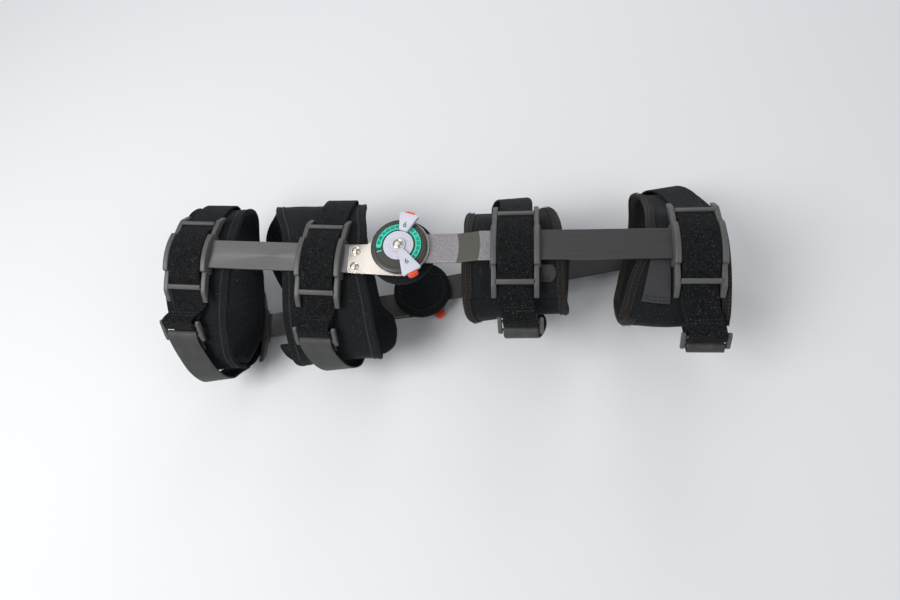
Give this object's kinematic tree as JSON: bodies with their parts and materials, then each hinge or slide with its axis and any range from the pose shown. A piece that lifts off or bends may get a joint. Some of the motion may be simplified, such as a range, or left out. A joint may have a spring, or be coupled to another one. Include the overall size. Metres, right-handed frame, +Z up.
{
  "type": "hinged knee brace",
  "caption": "Post-operative knee brace: uprights with dial hinges, foam cuffs round the thigh and the calf, and strap clips, lying on its inner side.",
  "frame": {"origin": "middle of the bounding box's bottom face", "axes": "+X from the thigh to the calf, +Y towards the back of the knee, +Z up towards the outer upright"},
  "size_m": [0.575, 0.2316, 0.1589],
  "materials": {
    "thigh_bar": "grey anodised, brushed along the bar",
    "calf_bar": "dark grey anodised, fine grained",
    "nickel": "nickel-plated steel",
    "cover_plastic": "moulded",
    "scale_plastic": "printed film",
    "pointer_plastic": "moulded",
    "button_plastic": "moulded",
    "clip_plastic": "moulded, fine grain",
    "foam_fabric": "laminated foam with a brushed cover",
    "strap_fabric": "napped loop strap",
    "webbing_fabric": "woven webbing",
    "hook_fabric": "hook tape"
  },
  "bodies": {
    "thigh": {"lateral_dial_cover": "cover_plastic", "lateral_dial_scale": "scale_plastic", "lateral_hinge_bolt": "nickel", "lateral_hinge_pad": "foam_fabric", "lateral_hinge_plate": "nickel", "lateral_rivet_lower": "nickel", "lateral_rivet_upper": "nickel", "lateral_thigh_bar": "thigh_bar", "lateral_thigh_lower_clip": "clip_plastic", "lateral_thigh_upper_clip": "clip_plastic", "medial_dial_cover": "cover_plastic", "medial_dial_scale": "scale_plastic", "medial_hinge_bolt": "nickel", "medial_hinge_pad": "foam_fabric", "medial_hinge_plate": "nickel", "medial_rivet_lower": "nickel", "medial_rivet_upper": "nickel", "medial_thigh_bar": "thigh_bar", "medial_thigh_lower_clip": "clip_plastic", "medial_thigh_upper_clip": "clip_plastic", "thigh_lower_buckle": "clip_plastic", "thigh_lower_cuff": "foam_fabric", "thigh_lower_strap": "strap_fabric", "thigh_lower_webbing": "webbing_fabric", "thigh_upper_buckle": "clip_plastic", "thigh_upper_cuff": "foam_fabric", "thigh_upper_strap": "strap_fabric", "thigh_upper_webbing": "webbing_fabric"},
    "calf": {"calf_lower_buckle": "clip_plastic", "calf_lower_cuff": "foam_fabric", "calf_lower_hook_tab": "hook_fabric", "calf_lower_strap": "strap_fabric", "calf_lower_webbing": "webbing_fabric", "calf_upper_buckle": "clip_plastic", "calf_upper_cuff": "foam_fabric", "calf_upper_hook_tab": "hook_fabric", "calf_upper_strap": "strap_fabric", "calf_upper_webbing": "webbing_fabric", "lateral_calf_bar": "calf_bar", "lateral_calf_lower_clip": "clip_plastic", "lateral_calf_upper_clip": "clip_plastic", "medial_calf_bar": "calf_bar", "medial_calf_lower_clip": "clip_plastic", "medial_calf_upper_clip": "clip_plastic"},
    "lateral_extension_pointer": {"lateral_extension_pointer": "pointer_plastic"},
    "lateral_extension_pointer_button": {"lateral_extension_pointer_button": "button_plastic"},
    "lateral_flexion_pointer": {"lateral_flexion_pointer": "pointer_plastic"},
    "lateral_flexion_pointer_button": {"lateral_flexion_pointer_button": "button_plastic"},
    "medial_extension_pointer": {"medial_extension_pointer": "pointer_plastic"},
    "medial_extension_pointer_button": {"medial_extension_pointer_button": "button_plastic"},
    "medial_flexion_pointer": {"medial_flexion_pointer": "pointer_plastic"},
    "medial_flexion_pointer_button": {"medial_flexion_pointer_button": "button_plastic"}
  },
  "joints": [
    {"name": "knee_flexion", "type": "hinge", "parent": "thigh", "child": "calf", "pos_m": [-0.02784, 0.00445, 0.07945], "axis": [0, 0, 1], "range_deg": [0, 80]},
    {"name": "lateral_flexion_pointer_stop", "type": "hinge", "parent": "thigh", "child": "lateral_flexion_pointer", "pos_m": [-0.02784, 0.00445, 0.1561], "axis": [0, 0, 1], "range_deg": [-15, 90]},
    {"name": "lateral_flexion_pointer_release", "type": "slide", "parent": "lateral_flexion_pointer", "child": "lateral_flexion_pointer_button", "axis": [-0.2924, -0.9563, 0], "range_m": [0, 0.0012], "stiffness_N_per_m": 300},
    {"name": "lateral_extension_pointer_stop", "type": "hinge", "parent": "thigh", "child": "lateral_extension_pointer", "pos_m": [-0.02784, 0.00445, 0.1561], "axis": [0, 0, 1], "range_deg": [-15, 75]},
    {"name": "lateral_extension_pointer_release", "type": "slide", "parent": "lateral_extension_pointer", "child": "lateral_extension_pointer_button", "axis": [-0.4848, 0.8746, 0], "range_m": [0, 0.0012], "stiffness_N_per_m": 300},
    {"name": "medial_flexion_pointer_stop", "type": "hinge", "parent": "thigh", "child": "medial_flexion_pointer", "pos_m": [-0.02784, 0.00445, 0.0028], "axis": [0, 0, 1], "range_deg": [-15, 90]},
    {"name": "medial_flexion_pointer_release", "type": "slide", "parent": "medial_flexion_pointer", "child": "medial_flexion_pointer_button", "axis": [-0.1052, -0.9944, 0], "range_m": [0, 0.0012], "stiffness_N_per_m": 300},
    {"name": "medial_extension_pointer_stop", "type": "hinge", "parent": "thigh", "child": "medial_extension_pointer", "pos_m": [-0.02784, 0.00445, 0.0028], "axis": [0, 0, 1], "range_deg": [-15, 75]},
    {"name": "medial_extension_pointer_release", "type": "slide", "parent": "medial_extension_pointer", "child": "medial_extension_pointer_button", "axis": [-0.6423, 0.7665, 0], "range_m": [0, 0.0012], "stiffness_N_per_m": 300}
  ]
}
